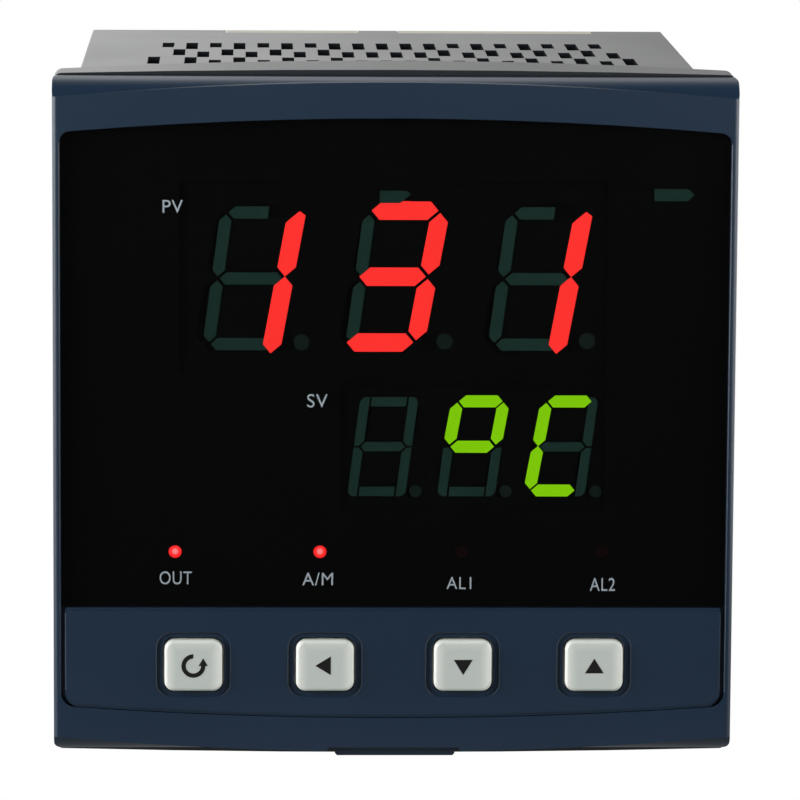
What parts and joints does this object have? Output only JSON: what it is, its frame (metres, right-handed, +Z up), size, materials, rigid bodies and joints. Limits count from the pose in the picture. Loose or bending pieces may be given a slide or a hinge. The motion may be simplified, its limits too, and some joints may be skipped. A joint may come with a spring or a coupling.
{
  "type": "temperature controller",
  "caption": "Square panel-mount temperature controller with two digit displays, status lamps, four keys, a draw-out core and rear screw terminals.",
  "frame": {"origin": "centre of the plane where the flange seats on the panel", "axes": "+Y runs from the front face to the rear through the panel cut-out, +Z is up, +X is to the right as seen from the front"},
  "size_m": [0.096, 0.1128, 0.099],
  "materials": {
    "case_black": "fine moulded grain",
    "ivory_plastic": "moulded",
    "terminal_black": "moulded",
    "tinned_brass": "tinned",
    "zinc_steel": "zinc plated",
    "spring_steel": "drawn",
    "fascia_blue": "satin moulded",
    "panel_blue": "satin film",
    "latch_blue": "satin moulded",
    "smoked_window": "polished",
    "mask_black": "matt",
    "display_black": "matt",
    "lit_red": "lit diffuser",
    "lit_green": "lit diffuser",
    "unlit_diffuser": "unlit diffuser",
    "lamp_red": "lit",
    "lamp_unlit": "unlit",
    "board_green": "solder resist",
    "chip_black": "moulded",
    "chip_white": "moulded",
    "plunger_black": "moulded",
    "bridge_black": "moulded",
    "core_steel": "stacked sheet edges",
    "winding_tape": "wrapped tape",
    "capacitor_sleeve": "shrunk sleeve",
    "relay_case": "moulded",
    "fuse_glass": "glass tube",
    "trimmer_blue": "moulded",
    "key_ivory": "satin moulded"
  },
  "bodies": {
    "case": {"case_sleeve": "case_black", "rear_plate": "ivory_plastic", "terminal_block_left": "terminal_black", "terminal_block_right": "terminal_black", "core_socket_left": "terminal_black", "core_socket_right": "terminal_black", "terminal_contacts": "tinned_brass", "wire_clamps": "zinc_steel", "terminal_screws": "zinc_steel"},
    "core": {"fascia": "fascia_blue", "display_window": "smoked_window", "key_panel": "panel_blue", "display_mask": "mask_black", "indicator_bar": "unlit_diffuser", "process_display": "display_black", "setting_display": "display_black", "process_segments_lit": "lit_red", "process_segments_dark": "unlit_diffuser", "setting_segments_lit": "lit_green", "setting_segments_dark": "unlit_diffuser", "status_lamps_lit": "lamp_red", "status_lamps_dark": "lamp_unlit", "display_board": "board_green", "board_screws": "zinc_steel", "tact_switches": "chip_black", "latch_pin": "zinc_steel", "latch_spring": "spring_steel", "main_board": "board_green", "power_board": "board_green", "board_bridge": "bridge_black", "front_headers": "terminal_black", "transformer_core": "core_steel", "transformer_winding": "winding_tape", "capacitors": "capacitor_sleeve", "relays": "relay_case", "fuse": "fuse_glass", "processor": "chip_black", "small_chips": "chip_black", "isolators": "chip_white", "supply_module": "chip_black", "trimmers": "trimmer_blue"},
    "latch": {"latch": "latch_blue"},
    "key_cycle": {"key_cycle": "key_ivory", "plunger_cycle": "plunger_black"},
    "key_shift": {"key_shift": "key_ivory", "plunger_shift": "plunger_black"},
    "key_down": {"key_down": "key_ivory", "plunger_down": "plunger_black"},
    "key_up": {"key_up": "key_ivory", "plunger_up": "plunger_black"}
  },
  "joints": [
    {"name": "core_slide", "type": "slide", "parent": "case", "child": "core", "axis": [0, -1, 0], "range_m": [0, 0.11]},
    {"name": "latch_press", "type": "hinge", "parent": "core", "child": "latch", "pos_m": [0, 0.0036, -0.0419], "axis": [-1, 0, 0], "range_deg": [0, 8], "stiffness_Nm_per_rad": 0.05, "springref_deg": -17.19, "deforming": ["latch_spring"]},
    {"name": "key_press_cycle", "type": "slide", "parent": "core", "child": "key_cycle", "axis": [0, 1, 0], "range_m": [0, 0.0004], "stiffness_N_per_m": 1500, "springref_m": -0.0003},
    {"name": "key_press_shift", "type": "slide", "parent": "core", "child": "key_shift", "axis": [0, 1, 0], "range_m": [0, 0.0004], "stiffness_N_per_m": 1500, "springref_m": -0.0003},
    {"name": "key_press_down", "type": "slide", "parent": "core", "child": "key_down", "axis": [0, 1, 0], "range_m": [0, 0.0004], "stiffness_N_per_m": 1500, "springref_m": -0.0003},
    {"name": "key_press_up", "type": "slide", "parent": "core", "child": "key_up", "axis": [0, 1, 0], "range_m": [0, 0.0004], "stiffness_N_per_m": 1500, "springref_m": -0.0003}
  ]
}
